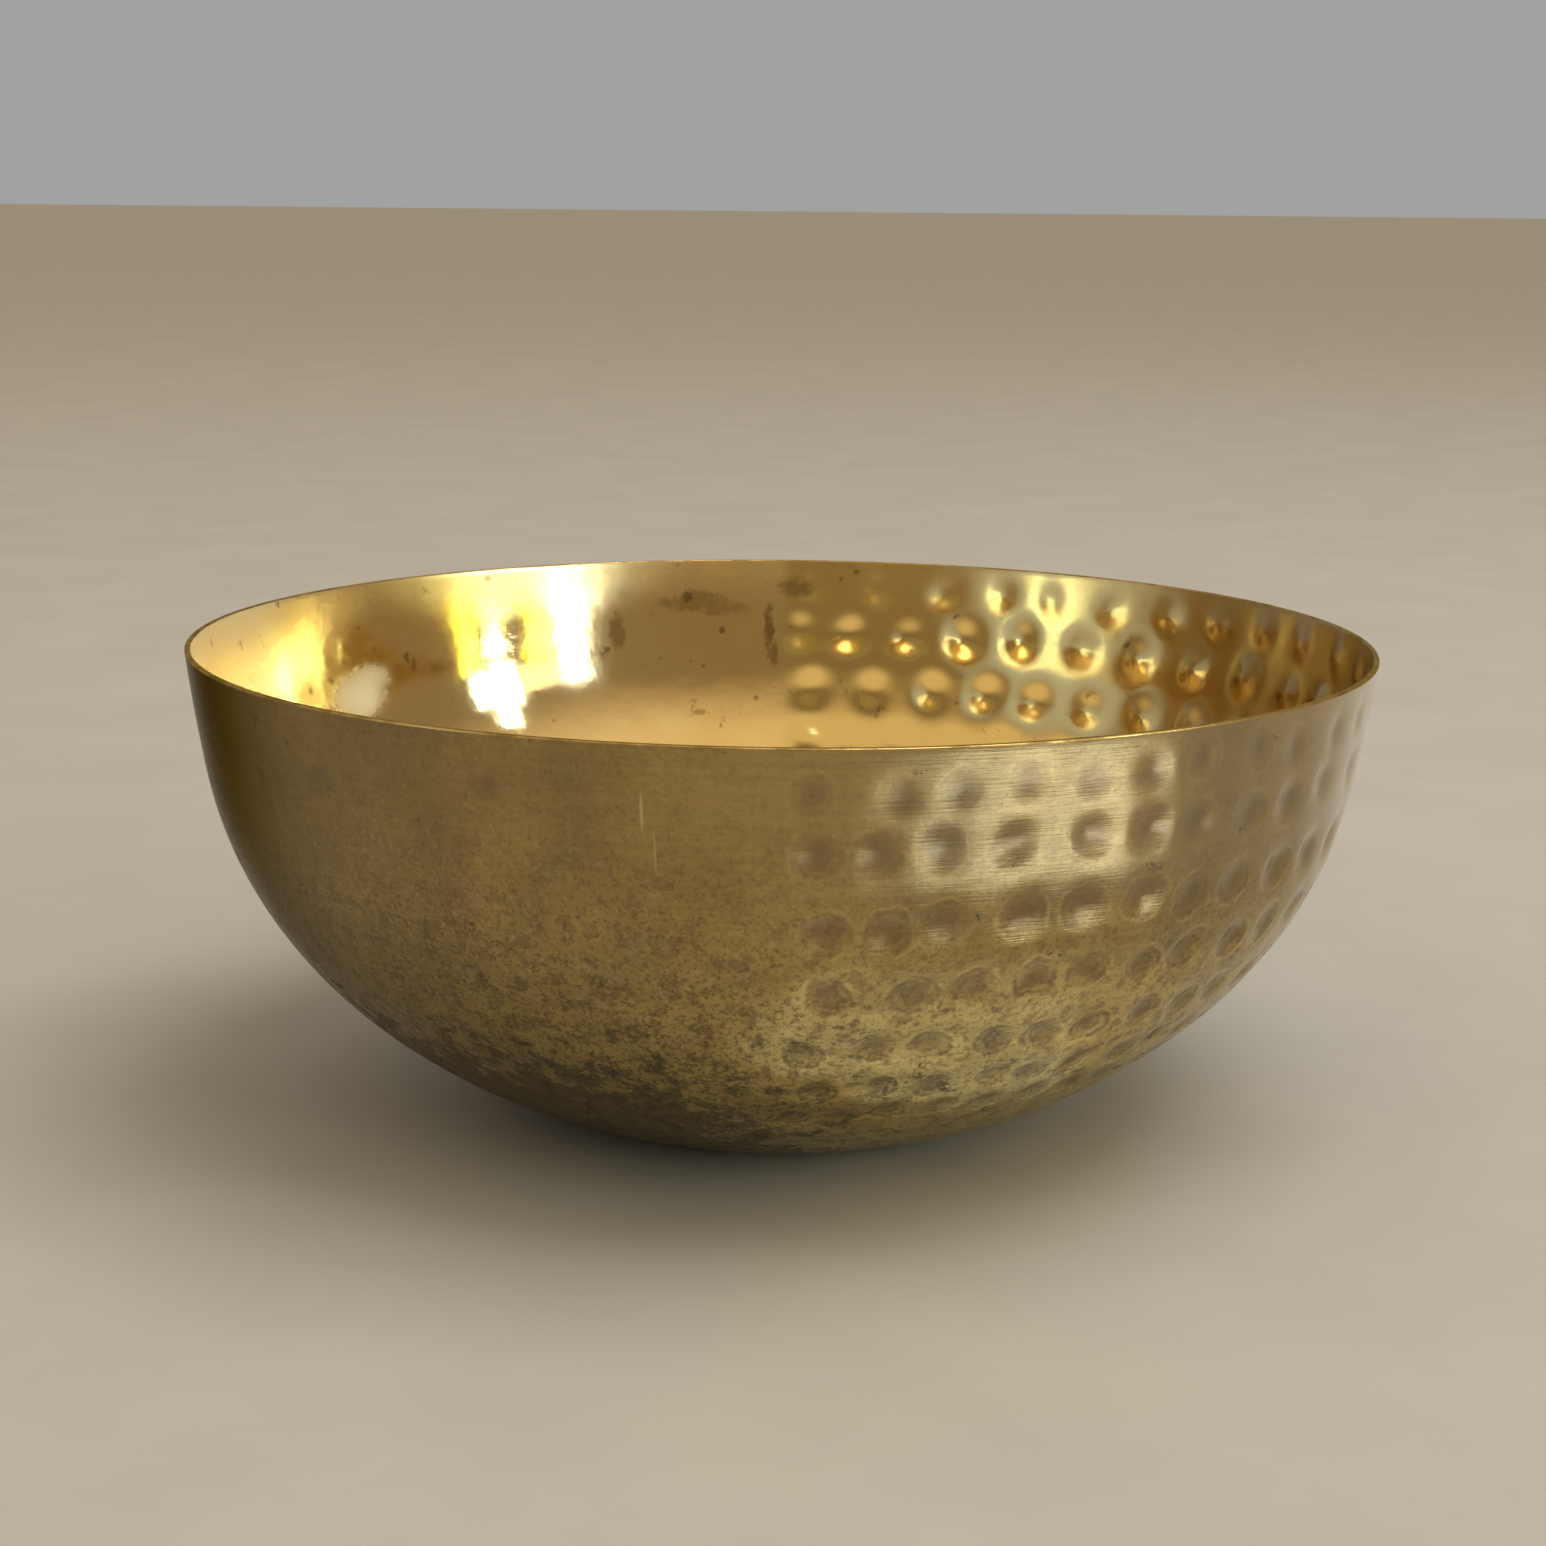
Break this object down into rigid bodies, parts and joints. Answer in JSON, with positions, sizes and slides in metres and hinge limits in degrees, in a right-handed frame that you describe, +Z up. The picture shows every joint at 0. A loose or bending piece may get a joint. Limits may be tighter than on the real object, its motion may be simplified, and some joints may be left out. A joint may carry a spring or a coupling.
{
  "type": "bowl",
  "caption": "Round brass bowl with a flat underside and an upright rim, raised from one sheet, with one half of the wall plain and the other half hammered all over with round dents.",
  "frame": {"origin": "middle of the flat underside, on the surface that the bowl stands on", "axes": "+Z up out of the mouth along the bowl's axis; +X points to the middle of the hammered half; the plain half is on the -X side"},
  "size_m": [0.2536, 0.2536, 0.1021],
  "materials": {
    "aged_brass": "aged satin outside with brown mottling, polished inside"
  },
  "bodies": {
    "root": {"bowl": "aged_brass"}
  },
  "joints": []
}
